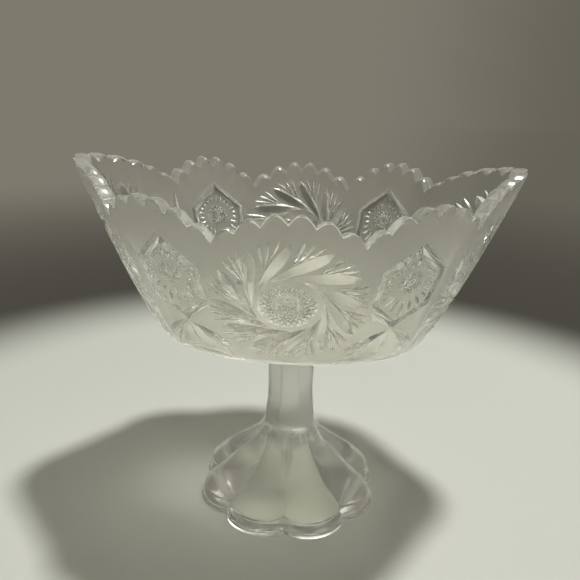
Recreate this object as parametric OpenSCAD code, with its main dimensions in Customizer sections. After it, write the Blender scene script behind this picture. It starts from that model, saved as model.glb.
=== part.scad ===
// Footed compote bowl in satin pressed glass.
// A boat-shaped bowl with eight scalloped lobes round its rim stands on a hollow pedestal,
// whose eight-sided stem opens into eight petals. A wafer of hot glass joins the two.
// Whirling stars are cut into the bowl's sides and ends, and bevelled shields into its corners.
// Millimetres, +Z up. The origin is the middle of the foot's underside, X is the long way.

/* [Bowl plan] */
// Length of the bowl over its two raised ends
bowl_length = 225; // [190:1:270]
// Width of the bowl, measured at the height of its ends
bowl_width = 178; // [150:1:210]
// Length of the oval where the wall starts
base_length = 133; // [110:1:150]
// Width of the oval where the wall starts
base_width = 76; // [66:1:90]
// How far the flanks beside each end are drawn in, as a share of the radius
end_pinch_share = 0.066; // [0:0.001:0.09]
// Bearing from the end over which the flank is drawn in, in degrees
pinch_reach = 40; // [34:1:48]

/* [Bowl heights, above the bowl's seat] */
// Height of the turn where the underside becomes the wall
base_rise = 7; // [5:0.5:10]
// Height of the notch in the middle of a long side
side_crown = 87; // [80:0.5:92]
// Height of the notch in the middle of a corner lobe
corner_crown = 90; // [82:0.5:96]
// Height of the notches beside the tip of an end
end_crown = 98.5; // [90:0.5:106]
// Height of the dip between a long side and a corner lobe
side_dip = 77; // [70:0.5:82]
// Height of the dip between a corner lobe and an end
end_dip = 81.5; // [74:0.5:86]

/* [Bowl glass] */
// Thickness of the wall at the long sides
side_wall = 6; // [4.5:0.25:8]
// Thickness of the wall at the ends
end_wall = 8; // [5:0.25:10]
// Thickness of the glass under the bowl's inside
floor_glass = 9; // [6:0.5:12]

/* [Rim] */
// Scallops on each long side
side_scallops = 6; // [3:1:9]
// Scallops on each corner lobe
corner_scallops = 6; // [3:1:9]
// Scallops on each end
end_scallops = 11; // [5:2:15]
// Height of a scallop above its notches, on the sides and corner lobes
scallop_height = 4.5; // [2:0.25:6]
// Height of a scallop above its notches, on the ends
end_scallop_height = 3; // [1.5:0.25:4.5]
// Bearing from the side's middle to its dips, in degrees
side_half_angle = 22; // [18:0.5:26]
// Bearing from the tip to the dips of its end, in degrees
end_half_angle = 34; // [30:0.5:38]

/* [Whirling stars] */
// Radius of the star on each long side, out to the tips of its blades
side_whirl_r = 34.5; // [28:0.5:36]
// Radius of the star on each end
end_whirl_r = 41.5; // [32:0.5:43]
// Height of the side stars' middle above the bowl's seat
side_whirl_rise = 48; // [45:0.5:50]
// Height of the end stars' middle above the bowl's seat
end_whirl_rise = 51; // [48:0.5:53]
// Blades in each star
blades = 12; // [8:1:16]
// Depth of the blades on the long sides, to which those on the ends are in proportion
blade_depth = 2; // [0.6:0.1:2.4]

/* [Corner shields] */
// Height of a shield from its foot to its peak
shield_height = 49; // [40:0.5:54]
// Width of a shield
shield_width = 33; // [26:0.5:36]
// Width of its bevelled frame
frame_width = 3.6; // [2.5:0.1:5]
// Depth of the frame
frame_depth = 1.6; // [0.6:0.1:2]
// Height of the shield's middle above the bowl's seat
shield_rise = 55; // [52:0.5:58]
// Bearing of the shields from the bowl's ends, in degrees
shield_bearing = 49.6; // [47:0.1:52]

/* [Joining wafer] */
// Diameter of the wafer
wafer_d = 31; // [29:0.5:36]
// Thickness of the wafer
wafer_t = 4; // [2.5:0.25:6]

/* [Pedestal] */
// Height of the pedestal, up to the wafer
pedestal_height = 84; // [70:1:100]
// Width of the stem across two opposite flats
stem_width = 25; // [20:0.5:28]
// Diameter of the foot over its petals
foot_d = 103.5; // [90:0.5:120]
// Depth of the notches between its petals
petal_notch = 5.75; // [3:0.25:8]
// Height of the upright edge of the foot
foot_edge = 2; // [1:0.25:3]
// Height of the sloping lip above the table
lip_height = 8; // [6:0.5:10]
// Height of the petals, where they have run out into the stem
petal_height = 51; // [44:0.5:58]
// Height of the hollow in the foot
hollow_height = 37; // [28:0.5:42]
// Thickness of the foot's glass at the notches, round the mouth of the hollow
foot_glass = 7; // [4:0.5:10]

/* [Hidden] */

satin_glass = [0.74, 0.76, 0.70];
joint_glass = [0.66, 0.70, 0.64];

petals = 8;
petal_step = 360 / petals;
scallop_facets = 4;
petal_facets = 8;
// Away from the rim the glass has one facet for this many of the rim's
outer_facet_group = 2;
inner_facet_group = 4;

// Shape of the wall between its foot and the rim, as powers of the height
end_sweep_share = 0.8;
side_sweep_share = 0.65;
// How square the crown of each lobe is
lobe_round_share = 1.8;
// How much lower the scallops are at the ends of a lobe than in its middle
scallop_fade_share = 0.4;

// The wall's rings between its foot and the rim, as shares of the local height
wall_shares = [0.05, 0.14, 0.3, 0.5, 0.7];
inside_shares = [0.5, 0.28, 0.12, 0.04];
// The rings nearest the rim, which keep all of its facets
rim_share = 0.88;
inside_rim_share = 0.75;
// The underside from the seat to the turn: how far out, and how far up
underside_out_shares = [0.45, 0.85];
underside_up_shares = [0.24, 0.74];
// The inside's floor from the wall inwards: how far out, and how far up
floor_out_shares = [0.93, 0.75, 0.4];
floor_up_shares = [0.45, 0.15, 0.02];

// A blade runs from a base to its tip: bearings in the star's plane, and the base's radius
first_tip = 28;
base_lead = 70;
base_r_share = 0.455;
// A blade's rows between base and tip: how far along, how wide and how deep
blade_along_shares = [0.35, 0.66, 0.88];
blade_wide_shares = [0.67, 1, 0.71];
blade_deep_shares = [0.79, 1, 0.81];
// The widths of a blade's narrow and broad flanks, and how far it bows outwards,
// as shares of the star's radius
narrow_flank_share = 0.055;
broad_flank_share = 0.12;
bow_share = 0.04;
// Corners of a shield from its peak on, as shares of its width and height from its middle
shield_across_shares = [0, -0.5, -0.46, 0, 0.46, 0.5];
shield_up_shares = [0.52, 0.215, -0.215, -0.48, -0.215, 0.215];
// The two cuts that run on below a shield
run_across_share = 0.55;
run_up_share = 0.3;
run_narrow_share = 0.45;
run_broad_share = 0.8;

// How far a panel reaches round the bowl, and how finely a bearing on it is found
panel_reach = 60;
panel_halvings = 16;
// Steps for the direction in which the wall faces
probe_turn = 0.5;
probe = side_wall / 20;
// How far a cut's body stands out of the wall
cut_overrun = side_wall / 3;

seat_z = pedestal_height + wafer_t;
turn_z = seat_z + base_rise;
floor_z = seat_z + floor_glass;
inside_turn_z = turn_z + floor_glass;
top_z = seat_z + end_crown;
seat_r = wafer_d / 2;
foot_r = foot_d / 2;
notch_r = foot_r - petal_notch;
hollow_r = notch_r - foot_glass;

// Stem and petals, from the lip to the stem's top: heights and crest radii
bell_up_shares = [0, 0.08, 0.16, 0.25, 0.35, 0.45, 0.55, 0.65, 0.77, 0.89, 1];
crest_out_shares = [1, 0.93, 0.83, 0.71, 0.57, 0.425, 0.287, 0.165, 0.086, 0.035, 0];
valley_out_shares = [1, 0.81, 0.61, 0.44, 0.31, 0.21, 0.139, 0.075, 0.029, 0.008, 0];
crest_lip_share = 0.96;
valley_lip_share = 0.86;
petal_round_share = 0.62;
stem_up_shares = [0.3, 0.7, 1];
stem_out_shares = [0.99, 0.99, 1.015];
neck_share = 1.07;
// The hollow, from the table up: how far up, and how far out
hollow_up_shares = [0.2, 0.45, 0.66, 0.84, 0.97];
hollow_out_shares = [0.81, 0.53, 0.33, 0.2, 0.085];

// A bearing folded into the quarter from an end, 0, to a long side, 90
function folded(bearing) = let (turned = abs(bearing % 180)) turned > 90 ? 180 - turned : turned;

// How strongly a flank is drawn in at a bearing, from 0 to 1
function pinch_at(bearing) =
    folded(bearing) < pinch_reach ? pow(sin(180 * folded(bearing) / pinch_reach), 2) : 0;

// Radius of the boat shape at a bearing, for its length, width and pinch
function boat_radius(bearing, long, wide, pinch) =
    long * wide / norm([wide * cos(bearing), long * sin(bearing)]) / 2
    * (1 - pinch * pinch_at(bearing));

function between(start, stop, share) = start + (stop - start) * share;

// Height of one lobe above the seat, for a share of the way along it
function lobe_height(along, scallops, tall, dip_a, dip_b, crown) =
    let (off = abs(2 * along - 1))
    between(dip_a, dip_b, along)
    + (crown - (dip_a + dip_b) / 2) * (1 - pow(off, lobe_round_share))
    + tall * (1 - scallop_fade_share * off * off) * abs(sin(180 * scallops * along));

side_from = 90 - side_half_angle;

// Height of the rim above the table at a bearing
function rim_z(bearing) =
    let (b = folded(bearing))
    seat_z + (
        b < end_half_angle
        ? lobe_height((b + end_half_angle) / (2 * end_half_angle), end_scallops,
            end_scallop_height, end_dip, end_dip, end_crown)
        : b < side_from
        ? lobe_height((b - end_half_angle) / (side_from - end_half_angle), corner_scallops,
            scallop_height, end_dip, side_dip, corner_crown)
        : lobe_height((b - side_from) / (2 * side_half_angle), side_scallops,
            scallop_height, side_dip, side_dip, side_crown));

// Bearings of the facets along one lobe, which starts and stops at a dip
function lobe_bearings(start, stop, scallops) =
    [for (i = [0 : scallops * scallop_facets - 1])
        between(start, stop, i / (scallops * scallop_facets))];

rim_bearings = [
    for (half = [0, 180]) each [
        each lobe_bearings(half - end_half_angle, half + end_half_angle, end_scallops),
        each lobe_bearings(half + end_half_angle, half + side_from, corner_scallops),
        each lobe_bearings(half + side_from, half + 180 - side_from, side_scallops),
        each lobe_bearings(half + 180 - side_from, half + 180 - end_half_angle, corner_scallops)
    ]
];

function at_bearing(bearing, radius, z) = [radius * cos(bearing), radius * sin(bearing), z];

// A point of the wall, whose thickness is 0 outside and 1 inside, at a height
function wall_point(bearing, z, inside) =
    let (
        up = max(0, (z - turn_z) / (top_z - turn_z)),
        long = between(base_length, bowl_length, pow(up, end_sweep_share)),
        wide = between(base_width, bowl_width, pow(up, side_sweep_share))
    )
    at_bearing(bearing, boat_radius(bearing, long - 2 * inside * end_wall,
        wide - 2 * inside * side_wall, end_pinch_share * up), z);

// Bearings of the facets away from the rim, which are fewer, most of all inside and underneath
outer_bearings = [for (i = [0 : outer_facet_group : len(rim_bearings) - 1]) rim_bearings[i]];
inner_bearings = [for (i = [0 : inner_facet_group : len(rim_bearings) - 1]) rim_bearings[i]];

// A ring of the wall at a share of the way from its foot to the rim
function wall_ring(bearings, share, inside) =
    let (foot_z = inside > 0 ? inside_turn_z : turn_z)
    [for (bearing = bearings) wall_point(bearing, between(foot_z, rim_z(bearing), share), inside)];

// A ring that runs from a circle, 0, out to the foot of the wall, 1
function floor_ring(out, z, circle_r, inside) =
    let (foot_z = inside > 0 ? inside_turn_z : turn_z)
    [for (bearing = inner_bearings)
        let (edge = wall_point(bearing, foot_z, inside))
        at_bearing(bearing, between(circle_r, norm([edge.x, edge.y]), out), z)];

// Where each ring's points start in the list of all of them
function ring_starts(rings, k = 0, from = 0) =
    k == len(rings) ? [from] : [from, each ring_starts(rings, k + 1, from + len(rings[k]))];

// Faces between a ring and the next, where one may have a whole number of times the other's points
function band_faces(start, count, next_start, next_count) =
    let (steps = max(count, next_count), group = steps / count, next_group = steps / next_count)
    [for (i = [0 : steps - 1])
        let (
            a = start + floor(i / group),
            b = start + floor((i + 1) / group) % count,
            c = next_start + floor(i / next_group),
            d = next_start + floor((i + 1) / next_group) % next_count
        )
        each concat(a == b ? [] : [[a, d, b]], c == d ? [] : [[a, c, d]])];

// A closed solid through rings of points, closed by a flat fan at each end
module loft(rings) {
    starts = ring_starts(rings);
    last = len(rings) - 1;
    middle = starts[last + 1];
    sides = [for (k = [0 : last - 1])
        each band_faces(starts[k], len(rings[k]), starts[k + 1], len(rings[k + 1]))];
    lower_fan = [for (i = [0 : len(rings[0]) - 1]) [middle, i, (i + 1) % len(rings[0])]];
    upper_fan = [for (i = [0 : len(rings[last]) - 1])
        [middle + 1, starts[last] + (i + 1) % len(rings[last]), starts[last] + i]];
    centres = [[0, 0, rings[0][0].z], [0, 0, rings[last][0].z]];
    polyhedron(points = [for (ring = rings) each ring, each centres],
        faces = concat(sides, lower_fan, upper_fan), convexity = 8);
}

// The bowl before its pattern is cut
module plain_bowl() {
    under = [for (i = [0 : len(underside_out_shares) - 1])
        floor_ring(underside_out_shares[i], seat_z + base_rise * underside_up_shares[i], seat_r, 0)];
    floor_inside = [for (i = [0 : len(floor_out_shares) - 1])
        floor_ring(floor_out_shares[i], between(floor_z, inside_turn_z, floor_up_shares[i]),
            seat_r / 2, 1)];
    loft([
        floor_ring(0, seat_z, seat_r, 0),
        each under,
        wall_ring(outer_bearings, 0, 0),
        for (share = wall_shares) wall_ring(outer_bearings, share, 0),
        wall_ring(rim_bearings, rim_share, 0),
        wall_ring(rim_bearings, 1, 0),
        wall_ring(rim_bearings, 1, 1),
        wall_ring(rim_bearings, inside_rim_share, 1),
        for (share = inside_shares) wall_ring(inner_bearings, share, 1),
        floor_ring(1, inside_turn_z, seat_r / 2, 1),
        each floor_inside,
        floor_ring(0, floor_z, seat_r / 2, 1)
    ]);
}

function unit(v) = v / norm(v);

// A point of the wall's outer face, and the direction in which it faces
function face_point(bearing, z) = wall_point(bearing, z, 0);
function face_normal(bearing, z) = unit(cross(
    face_point(bearing + probe_turn, z) - face_point(bearing - probe_turn, z),
    face_point(bearing, z + probe) - face_point(bearing, z - probe)));

// A panel of the pattern is a plane that touches the wall: bearing, middle, normal, way to the right
function panel_at(bearing, z) =
    let (normal = face_normal(bearing, z))
    [bearing, face_point(bearing, z), normal, unit(cross([0, 0, 1], normal))];

// The bearing where the wall lies as far to the right of a panel's middle as across, by halving
function bearing_at(panel, across, z, low, high, halvings) =
    let (middle = (low + high) / 2)
    halvings == 0 ? middle
    : (face_point(middle, z) - panel[1]) * panel[3] < across
    ? bearing_at(panel, across, z, middle, high, halvings - 1)
    : bearing_at(panel, across, z, low, middle, halvings - 1);

// A place of a panel, as [across, up, out], laid on the wall
function on_panel(panel, place) =
    let (
        z = panel[1].z + place.y * norm([panel[2].x, panel[2].y]),
        bearing = bearing_at(panel, place.x, z, panel[0] - panel_reach, panel[0] + panel_reach,
            panel_halvings)
    )
    face_point(bearing, z) + place.z * face_normal(bearing, z);

// The body that one cut takes away: the smallest one round its points
module cut_body(panel, places) {
    points = [for (place = places) on_panel(panel, place)];
    hull() polyhedron(points = points, faces = [[for (i = [0 : len(points) - 1]) i]]);
}

// A cut from base to tip, with a flank on each side of its valley, which bows to the left
module leaf_cut(panel, base, tip, left_flank, right_flank, depth, bow) {
    left = unit([base.y - tip.y, tip.x - base.x]);
    cut_body(panel, [
        for (end = [base, tip]) each [[end.x, end.y, 0], [end.x, end.y, cut_overrun]],
        for (i = [0 : len(blade_along_shares) - 1])
            let (
                along = blade_along_shares[i],
                valley = between(base, tip, along) + left * bow * (1 - pow(2 * along - 1, 2)),
                from = valley + left * left_flank * blade_wide_shares[i],
                to = valley - left * right_flank * blade_wide_shares[i]
            )
            each [
                [valley.x, valley.y, -depth * blade_deep_shares[i]],
                for (side = [from, to]) each [[side.x, side.y, 0], [side.x, side.y, cut_overrun]]
            ]
    ]);
}

function polar(radius, turn) = [radius * cos(turn), radius * sin(turn)];

// The blades of a star of a radius, on a panel
module whirl(panel, radius) {
    for (k = [0 : blades - 1])
        let (turn = first_tip + k * 360 / blades)
        leaf_cut(panel, polar(base_r_share * radius, turn + base_lead), polar(radius, turn),
            narrow_flank_share * radius, broad_flank_share * radius,
            blade_depth * radius / side_whirl_r, bow_share * radius);
}

// The frame of a corner shield, with the two cuts that run on below it
module shield(panel) {
    corners = [for (i = [0 : len(shield_across_shares) - 1])
        [shield_across_shares[i] * shield_width, shield_up_shares[i] * shield_height]];
    valley_share = 1 - frame_width / shield_width;
    inner_share = 1 - 2 * frame_width / shield_width;
    for (i = [0 : len(corners) - 1])
        cut_body(panel, [
            for (corner = [corners[i], corners[(i + 1) % len(corners)]]) each [
                for (share = [1, inner_share], out = [0, cut_overrun])
                    [corner.x * share, corner.y * share, out],
                [corner.x * valley_share, corner.y * valley_share, -frame_depth]
            ]
        ]);
    foot = corners[len(corners) / 2];
    for (side = [-1, 1])
        let (flank_shares = side > 0 ? [run_broad_share, run_narrow_share]
            : [run_narrow_share, run_broad_share])
        leaf_cut(panel, foot,
            foot + [side * run_across_share * shield_width, -run_up_share * shield_height],
            flank_shares[0] * frame_width, flank_shares[1] * frame_width, frame_depth, 0);
}

module bowl() {
    color(satin_glass) difference() {
        plain_bowl();
        for (half = [0, 180]) {
            whirl(panel_at(half + 90, seat_z + side_whirl_rise), side_whirl_r);
            whirl(panel_at(half, seat_z + end_whirl_rise), end_whirl_r);
            for (bearing = [shield_bearing, 180 - shield_bearing])
                shield(panel_at(half + bearing, seat_z + shield_rise));
        }
    }
}

module joining_wafer() {
    color(joint_glass)
        translate([0, 0, pedestal_height])
        cylinder(d = wafer_d, h = wafer_t, $fn = 96);
}

// A ring of the pedestal: petals of a crest and a valley radius, blended with an octagon
function petal_ring(crest_r, valley_r, z, octagon) =
    [for (i = [0 : petals * petal_facets - 1])
        let (
            bearing = i * 360 / (petals * petal_facets),
            off = (bearing + petal_step / 2) % petal_step - petal_step / 2,
            petal = between(valley_r, crest_r, pow(abs(sin(petals / 2 * bearing)), petal_round_share)),
            flat = valley_r / cos(off)
        )
        at_bearing(bearing, between(petal, flat, octagon), z)];

function round_ring(radius, z) = petal_ring(radius, radius, z, 0);

module pedestal() {
    neck_r = neck_share * stem_width / 2;
    crest_r = crest_lip_share * foot_r;
    valley_r = valley_lip_share * notch_r;
    last = len(hollow_up_shares) - 1;
    color(satin_glass) loft([
        for (i = [last : -1 : 0])
            round_ring(hollow_out_shares[i] * hollow_r, hollow_up_shares[i] * hollow_height),
        round_ring(hollow_r, 0),
        petal_ring(foot_r, notch_r, 0, 0),
        petal_ring(foot_r, notch_r, foot_edge, 0),
        for (i = [0 : len(bell_up_shares) - 1])
            let (
                z = between(lip_height, petal_height, bell_up_shares[i]),
                crest = between(neck_r, crest_r, crest_out_shares[i]),
                valley = between(neck_r, valley_r, valley_out_shares[i])
            )
            petal_ring(max(crest, valley), valley, z, pow(bell_up_shares[i], 3)),
        for (i = [0 : len(stem_up_shares) - 1])
            let (z = between(petal_height, pedestal_height, stem_up_shares[i]))
            petal_ring(stem_width / 2, stem_out_shares[i] * stem_width / 2, z, 1)
    ]);
}

bowl();
joining_wafer();
pedestal();
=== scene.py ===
import math

import bpy
import numpy as np
from mathutils import Matrix, Vector
from mathutils.geometry import delaunay_2d_cdt
from mathutils.kdtree import KDTree


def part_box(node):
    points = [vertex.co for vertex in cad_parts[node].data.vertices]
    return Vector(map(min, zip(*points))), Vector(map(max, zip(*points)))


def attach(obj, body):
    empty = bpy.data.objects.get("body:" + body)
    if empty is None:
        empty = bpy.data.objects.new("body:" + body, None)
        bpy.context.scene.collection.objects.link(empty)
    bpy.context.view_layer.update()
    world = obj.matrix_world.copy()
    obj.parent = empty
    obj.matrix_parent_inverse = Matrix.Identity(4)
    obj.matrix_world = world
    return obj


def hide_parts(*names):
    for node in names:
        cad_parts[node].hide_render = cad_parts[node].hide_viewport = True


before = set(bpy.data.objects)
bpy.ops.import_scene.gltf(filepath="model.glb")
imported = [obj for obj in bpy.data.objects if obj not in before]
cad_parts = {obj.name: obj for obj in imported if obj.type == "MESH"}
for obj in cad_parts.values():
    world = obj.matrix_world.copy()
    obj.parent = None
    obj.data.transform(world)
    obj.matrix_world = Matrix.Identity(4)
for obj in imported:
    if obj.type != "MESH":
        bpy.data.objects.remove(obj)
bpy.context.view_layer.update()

# A footed compote bowl in satin pressed glass, in metres, standing on the floor at z = 0.
# X runs along the bowl, and bearings are in degrees round it: 0 at the right end, 90 at the back.

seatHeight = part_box("joining_wafer")[1].z  # where the bowl sits on the wafer

# The bowl's shape, as the CAD bowl has it
bowl = dict(
    length=0.225, width=0.178, footLength=0.133, footWidth=0.076,
    pinch=0.066, pinchReach=40, endSweep=0.8, sideSweep=0.65,
    turnRise=0.007, endCrown=0.0985, cornerCrown=0.090, sideCrown=0.087,
    endDip=0.0815, sideDip=0.077, endHalfAngle=34, sideHalfAngle=22,
    endScallops=11, cornerScallops=6, sideScallops=6, scallop=0.0045, endScallop=0.003,
    lobeRound=1.8, scallopFade=0.4, sideWall=0.006, endWall=0.008, floorGlass=0.009,
    seatRadius=0.0155, stepsPerScallop=12,
)
turnHeight = seatHeight + bowl["turnRise"]
topHeight = seatHeight + bowl["endCrown"]
insideTurnHeight = turnHeight + bowl["floorGlass"]


def folded(bearing):
    turned = np.abs(bearing) % 180
    return np.where(turned > 90, 180 - turned, turned)


def between(start, stop, share):
    return start + (stop - start) * share


def eased(shares, values, wanted):
    # A smooth curve through values at shares, with slopes from the neighbours
    shares, values = np.array(shares, float), np.array(values, float)
    slopes = np.gradient(values, shares)
    k = np.clip(np.searchsorted(shares, wanted) - 1, 0, len(shares) - 2)
    gap = shares[k + 1] - shares[k]
    t = (wanted - shares[k]) / gap
    return (2 * t**3 - 3 * t**2 + 1) * values[k] + (t**3 - 2 * t**2 + t) * gap * slopes[k] \
        + (3 * t**2 - 2 * t**3) * values[k + 1] + (t**3 - t**2) * gap * slopes[k + 1]


def lobeHeight(along, scallops, tall, dipA, dipB, crown):
    off = np.clip(np.abs(2 * along - 1), 0, 1)
    arch = (crown - (dipA + dipB) / 2) * (1 - off ** bowl["lobeRound"])
    ripple = tall * (1 - bowl["scallopFade"] * off * off) * np.abs(np.sin(np.pi * scallops * along))
    return between(dipA, dipB, along) + arch + ripple


def rimHeight(bearing):
    b = folded(bearing)
    end, side = bowl["endHalfAngle"], 90 - bowl["sideHalfAngle"]
    endLobe = lobeHeight((b + end) / (2 * end), bowl["endScallops"], bowl["endScallop"],
                         bowl["endDip"], bowl["endDip"], bowl["endCrown"])
    cornerLobe = lobeHeight((b - end) / (side - end), bowl["cornerScallops"], bowl["scallop"],
                            bowl["endDip"], bowl["sideDip"], bowl["cornerCrown"])
    sideLobe = lobeHeight((b - side) / (2 * bowl["sideHalfAngle"]), bowl["sideScallops"],
                          bowl["scallop"], bowl["sideDip"], bowl["sideDip"], bowl["sideCrown"])
    return seatHeight + np.where(b < end, endLobe, np.where(b < side, cornerLobe, sideLobe))


def wallPoints(bearing, height, inside=0.0):
    # inside runs from 0 on the outer face to 1 on the inner face
    b, z = np.broadcast_arrays(np.asarray(bearing, float), np.asarray(height, float))
    up = np.maximum(0, (z - turnHeight) / (topHeight - turnHeight))
    long = between(bowl["footLength"], bowl["length"], up ** bowl["endSweep"]) \
        - 2 * inside * bowl["endWall"]
    wide = between(bowl["footWidth"], bowl["width"], up ** bowl["sideSweep"]) \
        - 2 * inside * bowl["sideWall"]
    turn = np.radians(b)
    near = np.minimum(folded(b), bowl["pinchReach"])
    drawnIn = 1 - bowl["pinch"] * up * np.sin(np.pi * near / bowl["pinchReach"]) ** 2
    radius = long * wide / np.hypot(wide * np.cos(turn), long * np.sin(turn)) / 2 * drawnIn
    return np.stack([radius * np.cos(turn), radius * np.sin(turn), z], -1)


def wallNormals(bearing, height):
    stepTurn, stepUp = 0.05, 0.0001
    along = wallPoints(bearing + stepTurn, height) - wallPoints(bearing - stepTurn, height)
    upward = wallPoints(bearing, height + stepUp) - wallPoints(bearing, height - stepUp)
    normal = np.cross(along, upward)
    return normal / np.linalg.norm(normal, axis=-1, keepdims=True)


# A flat chart of the wall: how far round it a bearing is at mid height, and the height up the slope
chart = dict(height=0.140, slope=1.11)
chartBearings = np.arange(-180, 361, 0.5)
chartTrack = wallPoints(chartBearings, chart["height"])
chartSteps = np.linalg.norm(np.diff(chartTrack, axis=0), axis=1)
chartRound = np.concatenate([[0], np.cumsum(chartSteps)])


def roundAt(bearing):
    return np.interp(bearing, chartBearings, chartRound)


def bearingAt(distance):
    return np.interp(distance, chartRound, chartBearings)


class Panel:
    # A panel of the pattern, drawn on the plane that touches the wall at its middle
    reach = 60.0  # how far round the wall a panel is looked for, in degrees
    halvings = 32

    def __init__(self, bearing, rise):
        self.bearing, self.height = bearing, seatHeight + rise
        self.middle = wallPoints(bearing, self.height)
        self.normal = wallNormals(np.array(bearing, float), self.height)
        self.right = np.cross([0, 0, 1], self.normal)
        self.right = self.right / np.linalg.norm(self.right)
        self.lean = math.sqrt(1 - self.normal[2] ** 2)

    def place(self, u, v):
        # The bearing and height of places on the panel, by halving
        height = self.height + v * self.lean
        low = np.full(np.shape(u), self.bearing - self.reach)
        high = np.full(np.shape(u), self.bearing + self.reach)
        for halving in range(self.halvings):
            middle = (low + high) / 2
            short = (wallPoints(middle, height) - self.middle) @ self.right < u
            low, high = np.where(short, middle, low), np.where(short, high, middle)
        return (low + high) / 2, height

    def locate(self, bearing, height):
        across = (wallPoints(bearing, height) - self.middle) @ self.right
        return across, (height - self.height) / self.lean


def polar(radius, degrees, middle=(0, 0)):
    turn = math.radians(degrees)
    return np.array([middle[0] + radius * math.cos(turn), middle[1] + radius * math.sin(turn)])


def flanks(rows):
    # The two flanks of a V-shaped cut, through rows of (edge, valley, edge)
    triangles = []
    for before, after in zip(rows, rows[1:]):
        for a, b in ((0, 1), (1, 2)):
            triangles += [(before[a], before[b], after[b]), (before[a], after[b], after[a])]
    return triangles


cutSink = 0.6  # a cut gets deep sooner than it gets wide


def cut(base, tip, left, right, depth, steps, bend=0.0, fullest=0.5, blunt=0.8):
    # One V-shaped cut from base to tip, as triangles of (u, v, depth). left and right are the
    # widths of its two flanks, bend bows it to the left, fullest says where it is widest, and
    # its ends are blunter as blunt gets smaller.
    base, tip = np.asarray(base, float), np.asarray(tip, float)
    axis = tip - base
    leftward = np.array([-axis[1], axis[0]]) / np.linalg.norm(axis)
    power = math.log(0.5) / math.log(fullest)
    rows = []
    for step in range(steps + 1):
        t = step / steps
        swell = math.sin(math.pi * t ** power) ** blunt if 0 < step < steps else 0.0
        valley = base + axis * t + leftward * bend * 4 * t * (1 - t)
        rows.append([
            (*(valley + leftward * left * swell), 0.0),
            (*valley, depth * swell ** cutSink),
            (*(valley - leftward * right * swell), 0.0),
        ])
    return flanks(rows)


def facet(*corners):
    # A flat facet given by corners of (u, v, depth), fanned from the first
    return [(corners[0], corners[k], corners[k + 1]) for k in range(1, len(corners) - 1)]


# The whirling star: long blades that sweep round a fine star, with a fan of rays beside each.
# Radii and widths are shares of the star's radius, turns are in degrees.
whirl = dict(
    sideRadius=0.0345, endRadius=0.0415, sideRise=0.048, endRise=0.051,
    blades=12, firstTip=28, baseRadius=0.455, baseLead=70, depth=0.0020,
    narrow=0.055, broad=0.120, bend=0.040, fullest=0.66, blunt=0.6, bladeSteps=10,
    fanFrom=0.65, fanTip=1.04, fanSwings=(-9, -16, -23), fanGather=5, fanWidth=0.023,
    fanDepth=0.0011, fanFullest=0.62, fanSteps=5,
)
# The fine star in its middle: chords that cross, round a hatched button
star = dict(
    radius=0.375, points=24, reach=9, width=0.020, depth=0.0008, blunt=0.4, steps=6, button=0.14,
    hatchTurns=(45, 135), hatchRows=2, hatchSpread=2.6, hatchWidth=0.02, hatchDepth=0.0006,
    hatchSteps=4,
)


def starCuts(middle, radius, points, reach, hatchTurns):
    # radius is the one of a whole whirling star, of which this star is the middle
    cuts = []
    width = star["width"] * radius
    for k in range(points):
        start = polar(star["radius"] * radius, 360 * k / points, middle)
        stop = polar(star["radius"] * radius, 360 * (k + reach) / points, middle)
        cuts += cut(start, stop, width, width, star["depth"], star["steps"], blunt=star["blunt"])
    button, width = star["button"] * radius, star["hatchWidth"] * radius
    for turn in hatchTurns:
        for row in range(-star["hatchRows"], star["hatchRows"] + 1):
            off = row * button / star["hatchSpread"]
            half = math.sqrt(button * button - off * off)
            line = polar(off, turn + 90, middle)
            cuts += cut(polar(-half, turn, line), polar(half, turn, line), width, width,
                        star["hatchDepth"], star["hatchSteps"], blunt=star["blunt"])
    return cuts


def bladeCut(radius, turn):
    # One blade, whose tip is at a turn of the star
    base = polar(whirl["baseRadius"] * radius, turn + whirl["baseLead"])
    return cut(base, polar(radius, turn), whirl["narrow"] * radius, whirl["broad"] * radius,
               whirl["depth"] * radius / whirl["sideRadius"], whirl["bladeSteps"],
               whirl["bend"] * radius, whirl["fullest"], whirl["blunt"])


bladeTurns = [whirl["firstTip"] + 360 * blade / whirl["blades"] for blade in range(whirl["blades"])]


def whirlCuts(radius):
    cuts = starCuts((0, 0), radius, star["points"], star["reach"], star["hatchTurns"])
    for turn in bladeTurns:
        cuts += bladeCut(radius, turn)
        width = whirl["fanWidth"] * radius
        for swing in whirl["fanSwings"]:
            start = polar(whirl["fanFrom"] * radius, turn + swing / whirl["fanGather"])
            stop = polar(whirl["fanTip"] * radius, turn + swing)
            cuts += cut(start, stop, width, width, whirl["fanDepth"], whirl["fanSteps"],
                        fullest=whirl["fanFullest"])
    return cuts


# The corner shield: a six-sided bevelled frame round a star whose rays fill it, over two cuts
# that cross at its foot and a plain facet between them
shield = dict(
    width=0.033, height=0.049, rise=0.055, bearing=49.6, band=0.0036, depth=0.0016,
    across=(0, -0.5, -0.46, 0, 0.46, 0.5), up=(0.52, 0.215, -0.215, -0.48, -0.215, 0.215),
    starHeight=0.0045, starRadius=0.0185, starPoints=14, starReach=5, hatchTurns=(30, 90, 150),
    rays=22, rayFrom=0.0088, rayWidth=0.00085, rayDepth=0.0010, rayFullest=0.6, rayClear=0.0008,
    raySteps=4, shortestRay=0.2, parallel=1e-9,
    runAcross=0.55, runUp=0.30, runNarrow=0.45, runBroad=0.8, runFullest=0.62, runBlunt=0.6,
    runSteps=6, facetFoot=0.54, facetHalf=0.40, facetMiddle=0.36, facetDeep=0.35,
)


def shieldCorners(share):
    return [np.array([across * shield["width"], up * shield["height"]]) * share
            for across, up in zip(shield["across"], shield["up"])]


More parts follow.
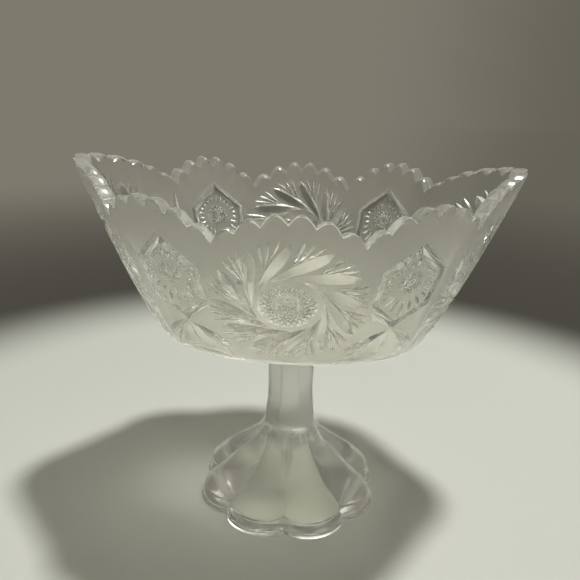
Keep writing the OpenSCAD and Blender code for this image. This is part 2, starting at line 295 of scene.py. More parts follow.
def reachTo(corners, middle, turn):
    # How far from middle a line at a turn meets the outline through the corners
    way = polar(1, turn)
    for a, b in zip(corners, corners[1:] + corners[:1]):
        side = b - a
        spread = way[0] * side[1] - way[1] * side[0]
        if abs(spread) > shield["parallel"]:
            start = a - middle
            far = (start[0] * side[1] - start[1] * side[0]) / spread
            along = (start[0] * way[1] - start[1] * way[0]) / spread
            if far > 0 and 0 <= along <= 1:
                return far
    return 0.0


def shieldCuts():
    s = shield
    outer, valley, core = (shieldCorners(1 - bands * s["band"] / s["width"]) for bands in (0, 1, 2))
    cuts = []
    for k in range(len(outer)):
        n = (k + 1) % len(outer)
        deepA, deepB = (*valley[k], s["depth"]), (*valley[n], s["depth"])
        cuts += facet((*outer[k], 0), (*outer[n], 0), deepB, deepA)
        cuts += facet(deepA, deepB, (*core[n], 0), (*core[k], 0))
    middle = np.array([0, s["starHeight"]])
    cuts += starCuts(middle, s["starRadius"], s["starPoints"], s["starReach"], s["hatchTurns"])
    for ray in range(s["rays"]):
        turn = 360 * ray / s["rays"] + 90
        far = reachTo(core, middle, turn) - s["rayClear"]
        if far > s["rayFrom"] * (1 + s["shortestRay"]):
            cuts += cut(polar(s["rayFrom"], turn, middle), polar(far, turn, middle),
                        s["rayWidth"], s["rayWidth"], s["rayDepth"], s["raySteps"],
                        fullest=s["rayFullest"])
    return cuts


def lowCuts():
    # Two cuts run on from the shield's foot, over a shallow dish of three facets. Both reach past
    # the valley between two lobes.
    s = shield
    foot = shieldCorners(1)[len(s["up"]) // 2]
    cuts = []
    for side in (-1, 1):
        end = foot + np.array([side * s["runAcross"] * s["width"], -s["runUp"] * s["height"]])
        widths = [share * s["band"] for share in (s["runNarrow"], s["runBroad"])][::-side]
        cuts += cut(foot, end, *widths, s["depth"], s["runSteps"], fullest=s["runFullest"],
                    blunt=s["runBlunt"])
    deepest = (foot[0], foot[1] - s["facetMiddle"] * s["height"], s["facetDeep"] * s["depth"])
    corners = [(*foot, 0)]
    for side in (-1, 1):
        corners.append((foot[0] + side * s["facetHalf"] * s["height"],
                        foot[1] - s["facetFoot"] * s["height"], 0))
    for a, b in zip(corners, corners[1:] + corners[:1]):
        cuts += facet(a, b, deepest)
    return cuts


# The long flutes on both sides of the star of each raised end, along the valleys between the lobes,
# measured on the panel of the shield beside them: from the top down, how far across their edges are
flute = dict(
    top=0.022, foot=-0.047, steps=16, valley=0.42, depth=0.0013, blunt=0.5,
    downShares=(0, 0.25, 0.46, 0.68, 0.85, 1),
    near=(0.0280, 0.0245, 0.0215, 0.0195, 0.0203, 0.0250),
    far=(0.0280, 0.0307, 0.0318, 0.0313, 0.0293, 0.0250),
)


def fluteCuts(endSide):
    # endSide is the side of the shield on which the raised end lies, -1 or 1
    f = flute
    rows = []
    for step in range(f["steps"] + 1):
        share = step / f["steps"]
        near, far = (eased(f["downShares"], f[edge], share) for edge in ("near", "far"))
        up = between(f["top"], f["foot"], share)
        swell = math.sin(math.pi * share) ** f["blunt"] if 0 < step < f["steps"] else 0.0
        middle = between(near, far, f["valley"])
        rows.append([(endSide * across, up, sunk)
                     for across, sunk in ((near, 0), (middle, f["depth"] * swell), (far, 0))])
    return flanks(rows)


# Where the panels sit on half of the wall; the other half is the same, turned by 180 degrees
seamBearing = -bowl["endHalfAngle"]
panels = [
    (Panel(0, whirl["endRise"]), whirlCuts(whirl["endRadius"])),
    (Panel(shield["bearing"], shield["rise"]), shieldCuts() + lowCuts() + fluteCuts(-1)),
    (Panel(90, whirl["sideRise"]), whirlCuts(whirl["sideRadius"])),
    (Panel(180 - shield["bearing"], shield["rise"]), shieldCuts() + lowCuts()),
    (Panel(-shield["bearing"], shield["rise"]), lowCuts() + fluteCuts(1)),  # over the first seam
]
# The blades again, by themselves, because they have a duller finish than the fine cuts
bladePanels = [
    (Panel(bearing, rise), [triangle for turn in bladeTurns for triangle in bladeCut(radius, turn)])
    for bearing, rise, radius in ((0, whirl["endRise"], whirl["endRadius"]),
                                  (90, whirl["sideRise"], whirl["sideRadius"]))
]
# The wall's mesh: the grid between the cuts, and how close a point counts as on a seam or in a cut
meshing = dict(
    grid=0.0030, rowStep=0.87, clear=0.0010, footStep=0.0022, footShort=0.72, seamPoints=32,
    bevel=0.0008, panelReach=55, slack=2e-5, edgeSlack=0.01, noArea=1e-12, onSeam=1e-6, notCut=1e-6,
    sameDigits=7, samePlace=1e-7,
)


def chartPoints(bearing, height):
    return np.stack([roundAt(bearing), np.asarray(height) * chart["slope"]], -1)


def reliefAt(bearing, height, group):
    # How deep the cuts of a group of panels are at points of the wall, where the deepest cut wins
    depth = np.zeros(len(bearing))
    slack, edge = meshing["slack"], meshing["edgeSlack"]
    for panel, cuts in group:
        u, v = panel.locate(bearing, height)
        near = np.abs(bearing - panel.bearing) < meshing["panelReach"]
        for (ax, ay, ad), (bx, by, bd), (cx, cy, cd) in cuts:
            area = (bx - ax) * (cy - ay) - (cx - ax) * (by - ay)
            if abs(area) < meshing["noArea"]:
                continue
            box = near & (u >= min(ax, bx, cx) - slack) & (u <= max(ax, bx, cx) + slack) \
                & (v >= min(ay, by, cy) - slack) & (v <= max(ay, by, cy) + slack)
            chosen = np.nonzero(box)[0]
            pu, pv = u[chosen] - ax, v[chosen] - ay
            shareB = (pu * (cy - ay) - (cx - ax) * pv) / area
            shareC = ((bx - ax) * pv - pu * (by - ay)) / area
            inside = (shareB > -edge) & (shareC > -edge) & (shareB + shareC < 1 + edge)
            value = ad + np.clip(shareB, 0, 1) * (bd - ad) + np.clip(shareC, 0, 1) * (cd - ad)
            hit = chosen[inside]
            depth[hit] = np.maximum(depth[hit], value[inside])
    return depth


def lobeBearings(start, stop, scallops):
    count = scallops * bowl["stepsPerScallop"]
    return [between(start, stop, k / count) for k in range(count)]


def rimBearings():
    # Half of the rim, from one seam to the next
    end, side = bowl["endHalfAngle"], 90 - bowl["sideHalfAngle"]
    return np.array(
        lobeBearings(-end, end, bowl["endScallops"])
        + lobeBearings(end, side, bowl["cornerScallops"])
        + lobeBearings(side, 180 - side, bowl["sideScallops"])
        + lobeBearings(180 - side, 180 - end, bowl["cornerScallops"])
    )


def halfWall():
    # The cut wall as triangles that follow every edge of the cuts, for half of the bowl. Gives
    # points, triangles, depths of all cuts and of the blades, and the numbers of the points on the
    # foot, the rim and the two seams.
    m = meshing
    rim = np.append(rimBearings(), seamBearing + 180)
    rimTop = rimHeight(rim) - m["bevel"]
    footLength = (roundAt(seamBearing + 180) - roundAt(seamBearing)) * m["footShort"]
    footCount = round(footLength / m["footStep"])
    foot = np.linspace(seamBearing, seamBearing + 180, footCount + 1)
    seamHeights = np.linspace(turnHeight, rimTop[0], m["seamPoints"] + 2)[1:-1]
    places, links = [], []

    def addLine(bearing, height):
        first = len(places)
        places.extend(chartPoints(bearing, height))
        numbers = list(range(first, len(places)))
        links.extend(zip(numbers, numbers[1:]))
        return numbers

    footLine = addLine(foot, np.full(len(foot), turnHeight))
    rimLine = addLine(rim, rimTop)
    for end in (0, -1):
        line = addLine(np.full(len(seamHeights), rim[end]), seamHeights)
        links.extend([(footLine[end], line[0]), (line[-1], rimLine[end])])
    for panel, cuts in panels:
        corners = {}
        for triangle in cuts:
            keys = [(round(u, m["sameDigits"]), round(v, m["sameDigits"])) for u, v, _ in triangle]
            for key in keys:
                corners.setdefault(key, len(corners))
            links.extend((corners[a] + len(places), corners[b] + len(places))
                         for a, b in zip(keys, keys[1:] + keys[:1]) if a != b)
        u, v = np.array(list(corners)).T
        places.extend(chartPoints(*panel.place(u, v)))
    tree = KDTree(len(places))
    for number, place in enumerate(places):
        tree.insert((*place, 0), number)
    tree.balance()
    ends = roundAt(rim[0]), roundAt(rim[-1])
    step, slope = m["grid"], chart["slope"]
    rows = np.arange(turnHeight * slope + step / 2, topHeight * slope, step * m["rowStep"])
    for k, up in enumerate(rows):
        for across in np.arange(ends[0] + step * (0.5 + k % 2 / 2), ends[1] - step / 2, step):
            below = (rimHeight(bearingAt(across)) - m["bevel"]) * slope - step / 2
            if up < below and tree.find((across, up, 0))[2] > m["clear"]:
                places.append(np.array([across, up]))
    flat = [Vector(place) for place in places]
    links = list({tuple(sorted(link)) for link in links})
    kind = 1  # the triangles inside the outline
    made, _, triangles, origins, _, _ = delaunay_2d_cdt(flat, links, [], kind, m["samePlace"], True)
    newNumber = {old: new for new, olds in enumerate(origins) for old in olds}
    chartMade = np.array([tuple(place) for place in made])
    bearing, height = bearingAt(chartMade[:, 0]), chartMade[:, 1] / slope
    depth, bladeDepth = (reliefAt(bearing, height, group) for group in (panels, bladePanels))
    points = wallPoints(bearing, height) - wallNormals(bearing, height) * depth[:, None]
    named = [[newNumber[old] for old in line] for line in (footLine, rimLine)]
    # The seams have every point that the cuts across them add
    for end in ends:
        onSeam = np.nonzero(np.abs(chartMade[:, 0] - end) < m["onSeam"])[0]
        named.append(sorted(onSeam, key=lambda k: chartMade[k, 1]))
    # The triangles above the scallops or past the seams belong to the air
    middles = chartMade[np.array(triangles)].mean(axis=1)
    rimPlaces = chartPoints(rim, rimTop)
    kept = middles[:, 1] < np.interp(middles[:, 0], rimPlaces[:, 0], rimPlaces[:, 1])
    kept &= (middles[:, 0] > ends[0]) & (middles[:, 0] < ends[1])
    return points, np.array(triangles)[kept], depth, bladeDepth, named


def turned(points):
    return points * np.array([-1, -1, 1])


def meshPiece(name, points, faces, materials, polish, finishes=None, sharpest=14):
    # A mesh object, with a finish number per face and how polished it is per point
    mesh = bpy.data.meshes.new(name)
    mesh.from_pydata([tuple(p) for p in points], [], [tuple(map(int, f)) for f in faces])
    for material in materials:
        mesh.materials.append(material)
    mesh.polygons.foreach_set("use_smooth", [True] * len(mesh.polygons))
    if finishes is not None:
        mesh.polygons.foreach_set("material_index", np.asarray(finishes, np.int32))
    layer = mesh.attributes.new("polish", "FLOAT", "POINT")
    layer.data.foreach_set("value", np.asarray(polish, np.float32))
    mesh.set_sharp_from_angle(angle=math.radians(sharpest))
    mesh.validate()
    piece = bpy.data.objects.new(name, mesh)
    bpy.context.scene.collection.objects.link(piece)
    return piece


def ringFaces(lower, upper):
    # Quads between two closed rings of equally many points, facing outwards as they climb
    count = len(lower)
    nexts = [(k + 1) % count for k in range(count)]
    return [(lower[k], lower[n], upper[n], upper[k]) for k, n in enumerate(nexts)]


class Shade:
    # One socket of a material's nodes, on which sums can be written
    def __init__(self, tree, socket=None):
        self.tree, self.socket = tree, socket

    def node(self, kind, settings=None, values=None, output=0):
        # Adds a node: its settings first, then the values or links of its sockets. Gives the
        # output with that number or name.
        made = self.tree.nodes.new(kind)
        for name, setting in (settings or {}).items():
            setattr(made, name, setting)
        for name, value in (values or {}).items():
            if isinstance(value, Shade):
                self.tree.links.new(value.socket, made.inputs[name])
            else:
                made.inputs[name].default_value = value
        return Shade(self.tree, made.outputs[output] if made.outputs else None)

    def sum(self, operation, first, second):
        return self.node("ShaderNodeMath", dict(operation=operation), {0: first, 1: second})

    def __add__(self, other):
        return self.sum("ADD", self, other)

    def __sub__(self, other):
        return self.sum("SUBTRACT", self, other)

    def __rsub__(self, other):
        return self.sum("SUBTRACT", other, self)

    def __mul__(self, other):
        return self.sum("MULTIPLY", self, other)

    __radd__, __rmul__ = __add__, __mul__


def blankShade(holder):
    # An empty node tree for a material or the world, ready for its first node
    holder.use_nodes = True
    holder.node_tree.nodes.clear()
    return Shade(holder.node_tree)


def blendColours(shade, share, first, second):
    # The sockets for colours share their names with others, so they go by number
    values = {0: share, 6: first, 7: second}
    return shade.node("ShaderNodeMix", dict(data_type="RGBA"), values, output=2)


def noise(shade, place, scale, detail):
    return shade.node("ShaderNodeTexNoise", {}, {
        "Vector": place, "Scale": scale, "Detail": detail})


def rays(shade, kind):
    # 1 for light of one kind, such as Is Camera Ray, and 0 for the rest
    return shade.node("ShaderNodeLightPath", output=kind)


# The finishes of the glass. Each goes from pale to deep between two heights, as painted shade that
# darkens the glass higher up. shadowTint is what a surface lets through of a lamp's light, and glow
# how much of the light inside reaches the floor.
satin = dict(
    pale=(0.94, 0.925, 0.82, 1), deep=(0.76, 0.745, 0.65, 1), paleTo=0.115, shadedFrom=0.170,
    clear=0.80, roughness=0.42, grain=0.10, coat=0.0, bump=0.10, bumpDepth=0.00006,
    shadowTint=(0.22, 0.22, 0.20, 1), glow=0.2,
)
# On the pedestal the deep colour is painted shade where the bowl shades the stem's top, and the
# pale one makes the petals lighter
softGlass = dict(
    pale=(0.985, 0.98, 0.935, 1), deep=(0.74, 0.735, 0.69, 1), paleTo=0.052, shadedFrom=0.092,
    clear=0.84, roughness=0.35, grain=0.08, coat=0.8, bump=0.09, bumpDepth=0.00006,
    shadowTint=(0.82, 0.82, 0.80, 1), glow=0.8,
)
polished = dict(
    pale=(0.975, 0.98, 0.96, 1), deep=(0.94, 0.945, 0.925, 1), paleTo=0.115, shadedFrom=0.180,
    clear=1.0, roughness=0.05, grain=0.03, coat=0.0, bump=0.04, bumpDepth=0.00005,
    shadowTint=(0.62, 0.62, 0.60, 1), glow=1.0,
)
hollowGlass = dict(polished, shadowTint=(0.92, 0.92, 0.91, 1))
cutGlass = dict(
    pale=(0.96, 0.955, 0.875, 1), deep=(0.88, 0.875, 0.80, 1), paleTo=0.115, shadedFrom=0.180,
    clear=0.91, roughness=0.19, grain=0.06, coat=0.0, bump=0.06, bumpDepth=0.00005,
    shadowTint=(0.22, 0.22, 0.20, 1), glow=0.2,
)
bladeGlass = dict(
    pale=(0.95, 0.94, 0.85, 1), deep=(0.84, 0.83, 0.745, 1), paleTo=0.115, shadedFrom=0.175,
    clear=0.88, roughness=0.27, grain=0.08, coat=0.0, bump=0.08, bumpDepth=0.00005,
    shadowTint=(0.22, 0.22, 0.20, 1), glow=0.2,
)
# A whiter, more diffuse band along the foot's bottom edge: a painted highlight line
highlightEdge = dict(
    pale=(0.97, 0.965, 0.92, 1), deep=(0.93, 0.925, 0.88, 1), paleTo=0.0, shadedFrom=0.010,
    clear=0.55, roughness=0.20, grain=0.04, coat=0.5, bump=0.06, bumpDepth=0.00005,
    shadowTint=(0.84, 0.84, 0.82, 1), glow=1.0,
)
rimGlass = dict(
    pale=(0.98, 0.97, 0.89, 1), deep=(0.96, 0.95, 0.87, 1), paleTo=0.170, shadedFrom=0.200,
    clear=0.86, roughness=0.16, grain=0.06, coat=1.0, bump=0.05, bumpDepth=0.00005,
    shadowTint=(0.60, 0.60, 0.59, 1), glow=0.2,
)


# What all of the glass shares: soft clouds in its colour, a fine grain, and its polished places
glassTexture = dict(
    refraction=1.5, cloudScale=45, cloudDetail=3, cloudShare=0.4, grainScale=2600, grainDetail=2,
    smoothed=0.55, coatRoughness=0.05,
)


def glassMaterial(name, finish):
    t = glassTexture
    material = bpy.data.materials.new(name)
    shade = blankShade(material)
    place = shade.node("ShaderNodeTexCoord", output="Object")
    polish = shade.node("ShaderNodeAttribute", dict(attribute_name="polish"), output="Fac")
    height = shade.node("ShaderNodeSeparateXYZ", {}, {"Vector": place}, output="Z")
    # Painted shade: the colour turns from pale to deep with height
    high = shade.node("ShaderNodeMapRange", {}, {
        "Value": height, "From Min": finish["paleTo"], "From Max": finish["shadedFrom"]})
    clouds = noise(shade, place, t["cloudScale"], t["cloudDetail"])
    depth = clouds * t["cloudShare"] + high * (1 - t["cloudShare"])
    grain = noise(shade, place, t["grainScale"], t["grainDetail"])
    colour = blendColours(shade, depth, finish["pale"], finish["deep"])
    rough = finish["roughness"] + finish["grain"] * (grain - 0.5)
    rough = rough - polish * (finish["roughness"] * t["smoothed"])
    bump = shade.node("ShaderNodeBump", {}, {
        "Strength": finish["bump"], "Distance": finish["bumpDepth"], "Height": grain})
    glass = shade.node("ShaderNodeBsdfPrincipled", {}, {
        "Base Color": colour, "Roughness": rough, "Transmission Weight": finish["clear"],
        "IOR": t["refraction"], "Coat Weight": finish["coat"],
        "Coat Roughness": t["coatRoughness"], "Normal": bump})
    lampLight = shade.node("ShaderNodeBsdfTransparent", {}, {"Color": finish["shadowTint"]})
    held = rays(shade, "Is Diffuse Ray") * (1 - finish["glow"])
    straight = rays(shade, "Is Shadow Ray") + held
    surface = shade.node("ShaderNodeMixShader", {}, {0: straight, 1: glass, 2: lampLight})
    shade.node("ShaderNodeOutputMaterial", {}, {"Surface": surface})
    return material


satinFinish = glassMaterial("satin_glass", satin)
softFinish = glassMaterial("soft_glass", softGlass)
clearFinish = glassMaterial("clear_glass", polished)
hollowFinish = glassMaterial("hollow_glass", hollowGlass)
rimFinish = glassMaterial("rim_glass", rimGlass)
cutFinish = glassMaterial("cut_glass", cutGlass)
bladeFinish = glassMaterial("blade_glass", bladeGlass)
highlightEdgeFinish = glassMaterial("painted_highlight_edge", highlightEdge)


# The bowl's inside, rim and underside: rings round the same bearings as the rim. Those of the rim
# say how far in and how many bevels down, those of the floor and underside how far out and up.
shell = dict(
    cutPolish=0.4,  # how much smoother the deepest cuts are
    rimRings=((0.05, 0.35), (0.13, 0.05), (0.45, 0.0), (0.62, 0.12), (0.76, 0.42), (0.87, 0.9),
              (0.95, 1.5), (1.0, 2.3)),
    insideShares=(0.94, 0.86, 0.76, 0.65, 0.54, 0.43, 0.33, 0.24, 0.16, 0.09, 0.04, 0.0),
    floorRings=((0.985, 0.8), (0.96, 0.6), (0.92, 0.4), (0.86, 0.24), (0.76, 0.13),
                (0.62, 0.06), (0.44, 0.02), (0.22, 0.0)),
    underRings=((0.96, 0.93), (0.9, 0.83), (0.8, 0.68), (0.68, 0.5), (0.55, 0.34),
                (0.4, 0.19), (0.25, 0.09), (0.12, 0.03), (0.0, 0.0)),
)


def makeBowl():
    onWall, onRim, onInside, onCuts, onBlades = range(5)  # the order of the materials below
    halfPoints, halfTriangles, halfDepth, bladeDepth, named = halfWall()
    count = len(halfPoints)
    points = [*halfPoints, *turned(halfPoints)]
    depths = [*halfDepth, *halfDepth]
    footLine, rimLine, firstSeam, lastSeam = named
    # The two halves share the points of their seams
    weld = np.arange(2 * count)
    for half in (0, 1):
        for first, last in zip(firstSeam, lastSeam):
            weld[last + half * count] = first + (1 - half) * count
    faces = [tuple(weld[corner + half * count] for corner in triangle)
             for half in (0, 1) for triangle in halfTriangles]
    # A face lies in a cut if one of its corners does, and in a blade if no other cut is deeper
    cutDepth = halfDepth[halfTriangles]
    inBlade = bladeDepth[halfTriangles].sum(axis=1) > cutDepth.sum(axis=1) - meshing["notCut"]
    inCut = np.where(inBlade, onBlades, onCuts)
    plain = cutDepth.max(axis=1) < meshing["notCut"]
    finishes = np.where(plain, onWall, inCut).tolist() * 2
    rimRing = [weld[k] for k in rimLine[:-1]] + [weld[k + count] for k in rimLine[:-1]]
    footRing = [weld[k] for k in footLine[:-1]] + [weld[k + count] for k in footLine[:-1]]
    bearings = np.concatenate([rimBearings(), rimBearings() + 180])
    tops = rimHeight(bearings)

    def addRing(ringPoints):
        first = len(points)
        points.extend(ringPoints)
        depths.extend([0.0] * len(ringPoints))
        return list(range(first, len(points)))

    def addBand(ring, after, finish):
        made = ringFaces(ring, after)
        faces.extend(made)
        finishes.extend([finish] * len(made))
        return after

    ring = rimRing
    for inside, drop in shell["rimRings"]:
        after = addRing(wallPoints(bearings, tops - drop * meshing["bevel"], inside))
        ring = addBand(ring, after, onRim)
    for share in shell["insideShares"]:
        height = between(insideTurnHeight, tops - meshing["bevel"], share)
        ring = addBand(ring, addRing(wallPoints(bearings, height, 1)), onInside)
    floorHeight = seatHeight + bowl["floorGlass"]
    edge = wallPoints(bearings, insideTurnHeight, 1)
    for out, up in shell["floorRings"]:
        height = between(floorHeight, insideTurnHeight, up)
        inner = edge * out
        inner[:, 2] = height
        ring = addBand(ring, addRing(inner), onInside)
    middle = addRing([np.array([0, 0, floorHeight])])[0]
    faces.extend((ring[k], ring[(k + 1) % len(ring)], middle) for k in range(len(ring)))
    finishes.extend([onInside] * len(ring))

    ring = footRing
    footEdge = np.array([points[k] for k in footRing])
    radius = np.linalg.norm(footEdge[:, :2], axis=1)
    for out, up in shell["underRings"]:
        under = footEdge * (between(bowl["seatRadius"], radius, out) / radius)[:, None]
        under[:, 2] = between(seatHeight, turnHeight, up)
        after = addRing(under)
        addBand(after, ring, onWall)
        ring = after
    middle = addRing([np.array([0, 0, seatHeight])])[0]
    faces.extend((ring[(k + 1) % len(ring)], ring[k], middle) for k in range(len(ring)))
    finishes.extend([onWall] * len(ring))

    # Only the points that a face uses are kept
    used = np.unique(np.concatenate([np.array(face) for face in faces]))
    place = np.full(len(points), -1)
    place[used] = np.arange(len(used))
    kept = [points[k] for k in used]
    faces = [tuple(place[list(face)]) for face in faces]
    polish = np.clip(np.array(depths)[used] / whirl["depth"], 0, 1) * shell["cutPolish"]
    materials = [satinFinish, rimFinish, clearFinish, cutFinish, bladeFinish]
    return meshPiece("bowl_shell", kept, faces, materials, polish, finishes)


print("bowl: cutting the wall")
bowlShell = makeBowl()
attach(bowlShell, "root")
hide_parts("bowl")
print("bowl:", len(bowlShell.data.polygons), "faces")


# The pedestal: an eight-sided stem that opens into eight petals, hollow underneath. Its flange is
# given as how far in and how high, and the slope above as how far up and how deep the groove is.
# The profiles run from the foot up. Those of the bell and the hollow narrow from 1 to 0, and the
# stem's is in shares of half its width.
pedestal = dict(
    petals=8, columns=192, stemWidth=0.025, neckShare=1.07, footRadius=0.05175, notch=0.00575,
    edge=0.002, lip=0.008, petalTop=0.051, crestLip=0.96, valleyLip=0.90, petalRound=0.62,
    hollow=0.0395, glass=0.007, bellRings=46, stemRings=14, hollowRings=20,
    # The foot's rings below 0.8 mm carry a painted highlight line
    softValley=0.02, highlightHeight=0.0008, lift=0.00004,  # lift: the air under the foot
    hollowTop=0.985, octagonPower=3, petalPolish=0.6, polishPower=5,  # the stem is less smooth
    flangeSteps=((0.0005, 0.00004), (0.0001, 0.0003), (0, 0.0009), (0.0001, 0.0016),
                 (0.0004, 0.0021), (0.0009, 0.0024), (0.0014, 0.0026)),
    slopeSteps=((0.10, 0.0012), (0.25, 0.0013), (0.38, 0.0016), (0.50, 0.0020), (0.60, 0.0022),
                (0.70, 0.0021), (0.80, 0.0016), (0.88, 0.0010), (0.95, 0.0004)),
    bellUp=(0, 0.08, 0.16, 0.25, 0.35, 0.45, 0.54, 0.62, 0.69, 0.78, 0.89, 1),
    crestOut=(1, 0.93, 0.83, 0.71, 0.57, 0.425, 0.3, 0.195, 0.135, 0.08, 0.035, 0),
    valleyOut=(1, 0.81, 0.61, 0.44, 0.31, 0.21, 0.145, 0.09, 0.057, 0.027, 0.008, 0),
    hollowUp=(0, 0.16, 0.33, 0.52, 0.66, 0.78, 0.9, 0.98, 1),
    hollowOut=(1, 0.86, 0.65, 0.46, 0.33, 0.24, 0.16, 0.07, 0),
    stemUp=(0, 0.3, 0.7, 1), stemOut=(1.07, 0.99, 0.99, 1.015),
)


def petalRing(crest, valley, height, octagon):
    # One ring of the pedestal, from petals at octagon 0 to eight flat sides at 1
    p = pedestal
    bearing = np.arange(p["columns"]) * 360 / p["columns"]
    step = 360 / p["petals"]
    off = (bearing + step / 2) % step - step / 2
    wave = np.sin(np.radians(p["petals"] / 2 * bearing)) ** 2
    soft = p["softValley"]
    lowest, highest = soft ** 0.5, (1 + soft) ** 0.5
    wave = ((np.sqrt(wave + soft) - lowest) / (highest - lowest)) ** p["petalRound"]
    petal = between(valley, crest, wave)
    flat = valley / np.cos(np.radians(off))
    radius = between(petal, flat, octagon)
    turn = np.radians(bearing)
    return np.stack([radius * np.cos(turn), radius * np.sin(turn), np.full(len(turn), height)], -1)


def makePedestal():
    p = pedestal
    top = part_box("pedestal")[1].z
    neck = p["neckShare"] * p["stemWidth"] / 2
    notchRadius = p["footRadius"] - p["notch"]
    hollowRadius = notchRadius - p["glass"]
    crestLip, valleyLip = p["crestLip"] * p["footRadius"], p["valleyLip"] * notchRadius
    outside, inHollow, highlightBand = range(3)  # the order of the materials below
    rings, finishes, polishes = [], [], []

    def addRing(points, finish, polish):
        rings.append(points)
        finishes.append(finish)
        polishes.append(polish)

    for share in np.linspace(p["hollowTop"], 0, p["hollowRings"]):
        radius = eased(p["hollowUp"], p["hollowOut"], share) * hollowRadius
        height = max(share * p["hollow"], p["lift"])
        addRing(petalRing(radius, radius, height, 0), inHollow, 0)
    # The flange: its rings below the highlight height carry the painted highlight line along the
    # bottom edge
    for pulledIn, height in p["flangeSteps"]:
        flange = petalRing(p["footRadius"] - pulledIn, notchRadius - pulledIn, height, 0)
        addRing(flange, highlightBand if height < p["highlightHeight"] else outside, p["petalPolish"])
    for share, sunk in p["slopeSteps"]:
        crest = between(p["footRadius"], crestLip, share) - sunk
        valley = between(notchRadius, valleyLip, share) - sunk
        height = between(p["edge"], p["lip"], share)
        addRing(petalRing(crest, valley, height, 0), outside, p["petalPolish"])
    for share in np.linspace(0, 1, p["bellRings"]):
        crest = between(neck, crestLip, eased(p["bellUp"], p["crestOut"], share))
        valley = between(neck, valleyLip, eased(p["bellUp"], p["valleyOut"], share))
        height = between(p["lip"], p["petalTop"], share)
        bell = petalRing(max(crest, valley), valley, height, share ** p["octagonPower"])
        addRing(bell, outside, p["petalPolish"] * (1 - share ** p["polishPower"]))
    for share in np.linspace(0, 1, p["stemRings"])[1:]:
        radius = eased(p["stemUp"], p["stemOut"], share) * p["stemWidth"] / 2
        height = between(p["petalTop"], top, share)
        addRing(petalRing(radius, radius, height, 1), outside, 0)
    count = p["columns"]
    points = [point for ring in rings for point in ring]
    faces, finish = [], []
    for k in range(len(rings) - 1):
        start = k * count
        faces += ringFaces(range(start, start + count), range(start + count, start + 2 * count))
        finish += [finishes[k]] * count
    hollowTop, stemTop = len(points), len(points) + 1
    points += [np.array([0, 0, rings[0][0][2]]), np.array([0, 0, top])]
    last = (len(rings) - 1) * count
    faces += [((k + 1) % count, k, hollowTop) for k in range(count)]
    faces += [(last + k, last + (k + 1) % count, stemTop) for k in range(count)]
    finish += [inHollow] * count + [outside] * count
    polish = np.append(np.repeat(polishes, count), [0, 0])
    materials = [softFinish, hollowFinish, highlightEdgeFinish]
    return meshPiece("petal_pedestal", points, faces, materials, polish, finish, sharpest=40)


print("pedestal: stem and petals")
petalPedestal = makePedestal()
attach(petalPedestal, "root")
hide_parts("pedestal")


# The wafer of glass that joins them, with the soft edge of glass that was pressed while hot
wafer = dict(columns=96, rings=10, gap=0.00002, bulge=0.0009)


def makeWafer():
    low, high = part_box("joining_wafer")
    radius, gap = high.x, wafer["gap"]
    rings = []
    for share in np.linspace(0, 1, wafer["rings"]):
        swell = radius - wafer["bulge"] * (1 - math.sin(math.pi * share)) ** 2
        rings.append((swell, between(low.z + gap, high.z - gap, share)))
    turn = np.arange(wafer["columns"]) * 2 * math.pi / wafer["columns"]
    points = [np.array([r * math.cos(a), r * math.sin(a), z]) for r, z in rings for a in turn]
    count = wafer["columns"]
    faces = []
    for start in range(0, len(points) - count, count):
        faces += ringFaces(range(start, start + count), range(start + count, start + 2 * count))
    faces += [tuple(range(count))[::-1], tuple(range(len(points) - count, len(points)))]
    polish = np.ones(len(points))
    return meshPiece("fused_wafer", points, faces, [satinFinish], polish, sharpest=35)


print("wafer: between the stem and the bowl")
fusedWafer = makeWafer()
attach(fusedWafer, "root")
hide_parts("joining_wafer")


# The stage: a pale floor that melts into a mid-grey backdrop
stage = dict(
    floorSize=8.0, pale=(0.60, 0.61, 0.54, 1), fadeFrom=0.26, fadeTo=0.40,
    near=(0.070, 0.066, 0.054, 1), nearTo=0.36, farFrom=1.30,
    backdrop=(0.207, 0.196, 0.157, 1), right=(0.130, 0.124, 0.098, 1), rightFrom=0.05, rightTo=0.42,
    ambient=(0.160, 0.156, 0.138, 1),
)


def backdropColour(shade, place):
    # The backdrop's grey, with painted shade that darkens it to the right
    way = shade.node("ShaderNodeVectorMath", dict(operation="NORMALIZE"), {0: place})
    aside = shade.node("ShaderNodeSeparateXYZ", {}, {"Vector": way}, output="X")
    share = shade.node("ShaderNodeMapRange", dict(interpolation_type="SMOOTHSTEP"), {
        "Value": aside, "From Min": stage["rightFrom"], "From Max": stage["rightTo"]})
    return blendColours(shade, share, stage["backdrop"], stage["right"])


def makeFloor():
    half = stage["floorSize"] / 2
    corners = [(-half, -half, 0), (half, -half, 0), (half, half, 0), (-half, half, 0)]
    mesh = bpy.data.meshes.new("floor")
    mesh.from_pydata(corners, [], [(0, 1, 2, 3)])
    floor = bpy.data.objects.new("floor", mesh)
    bpy.context.scene.collection.objects.link(floor)
    material = bpy.data.materials.new("pale_floor")
    shade = blankShade(material)
    place = shade.node("ShaderNodeTexCoord", output="Object")
    away = shade.node("ShaderNodeVectorMath", dict(operation="LENGTH"), {0: place}, output="Value")
    far = shade.node("ShaderNodeMapRange", dict(interpolation_type="SMOOTHSTEP"), {
        "Value": away, "From Min": stage["fadeFrom"], "From Max": stage["fadeTo"]})
    farther = shade.node("ShaderNodeMapRange", dict(interpolation_type="SMOOTHSTEP"), {
        "Value": away, "From Min": stage["nearTo"], "From Max": stage["farFrom"]})
    colour = blendColours(shade, farther, stage["near"], backdropColour(shade, place))
    pale = shade.node("ShaderNodeBsdfDiffuse", {}, {"Color": stage["pale"]})
    dim = shade.node("ShaderNodeEmission", {}, {"Color": colour, "Strength": 1.0})
    surface = shade.node("ShaderNodeMixShader", {}, {0: far, 1: pale, 2: dim})
    shade.node("ShaderNodeOutputMaterial", {}, {"Surface": surface})
    mesh.materials.append(material)


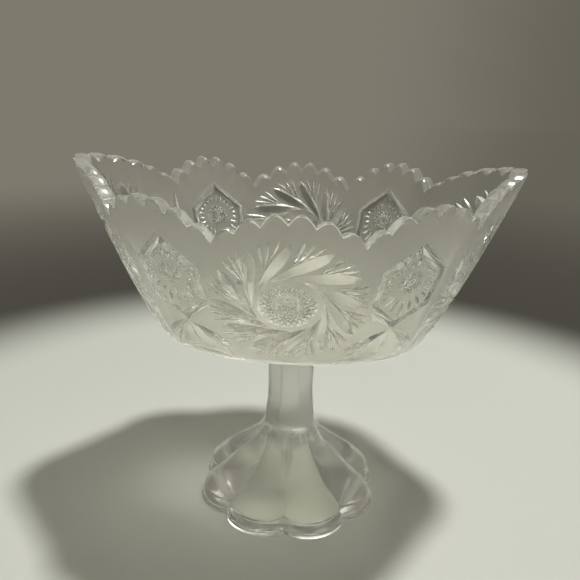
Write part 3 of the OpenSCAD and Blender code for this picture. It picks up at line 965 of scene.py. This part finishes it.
def makeWorld():
    # A soft fill for dull surfaces, and the grey backdrop for the camera, gloss and through glass
    world = bpy.data.worlds.new("backdrop")
    bpy.context.scene.world = world
    shade = blankShade(world)
    seen = rays(shade, "Is Camera Ray") + rays(shade, "Is Glossy Ray") \
        + rays(shade, "Is Transmission Ray")
    share = shade.node("ShaderNodeClamp", {}, {"Value": seen})
    backdrop = backdropColour(shade, shade.node("ShaderNodeTexCoord", output="Generated"))
    colour = blendColours(shade, share, stage["ambient"], backdrop)
    light = shade.node("ShaderNodeBackground", {}, {"Color": colour, "Strength": 1.0})
    shade.node("ShaderNodeOutputWorld", {}, {"Surface": light})


# Round lamps: a small strong one overhead that throws the shadow, and a broad weak one at the side
lamps = dict(
    overhead=dict(place=(0.33, 0.10, 2.00), target=(0, 0, 0), size=0.19, power=34),
    window=dict(place=(0.75, -0.75, 0.18), target=(0, 0, 0.12), size=0.80, power=2),
)


def makeLamp(name, place, target, size, power):
    light = bpy.data.lights.new(name, "AREA")
    light.shape, light.size, light.energy = "DISK", size, power
    lamp = bpy.data.objects.new(name, light)
    lamp.location = place
    lamp.rotation_euler = (Vector(target) - Vector(place)).to_track_quat("-Z", "Y").to_euler()
    bpy.context.scene.collection.objects.link(lamp)


# The camera, as the photograph's was: its lens is 600 pixels from an image 580 pixels wide
view = dict(place=(0.01046, -0.30599, 0.22333), down=0.323, left=0.041, tilt=0.030,
            focus=600, frame=580, sensor=36)


def makeCamera():
    data = bpy.data.cameras.new("camera")
    data.sensor_width = view["sensor"]
    data.lens = view["sensor"] * view["focus"] / view["frame"]
    camera = bpy.data.objects.new("camera", data)
    aside = Matrix.Rotation(view["left"], 4, "Z")
    lower = Matrix.Rotation(math.pi / 2 - view["down"], 4, "X")
    roll = Matrix.Rotation(view["tilt"], 4, "Z")
    camera.matrix_world = Matrix.Translation(view["place"]) @ aside @ lower @ roll
    bpy.context.scene.collection.objects.link(camera)
    bpy.context.scene.camera = camera


print("stage, lamps and camera")
makeFloor()
makeWorld()
for name, lamp in lamps.items():
    makeLamp(name, **lamp)
makeCamera()
bpy.context.scene.view_settings.view_transform = "Standard"
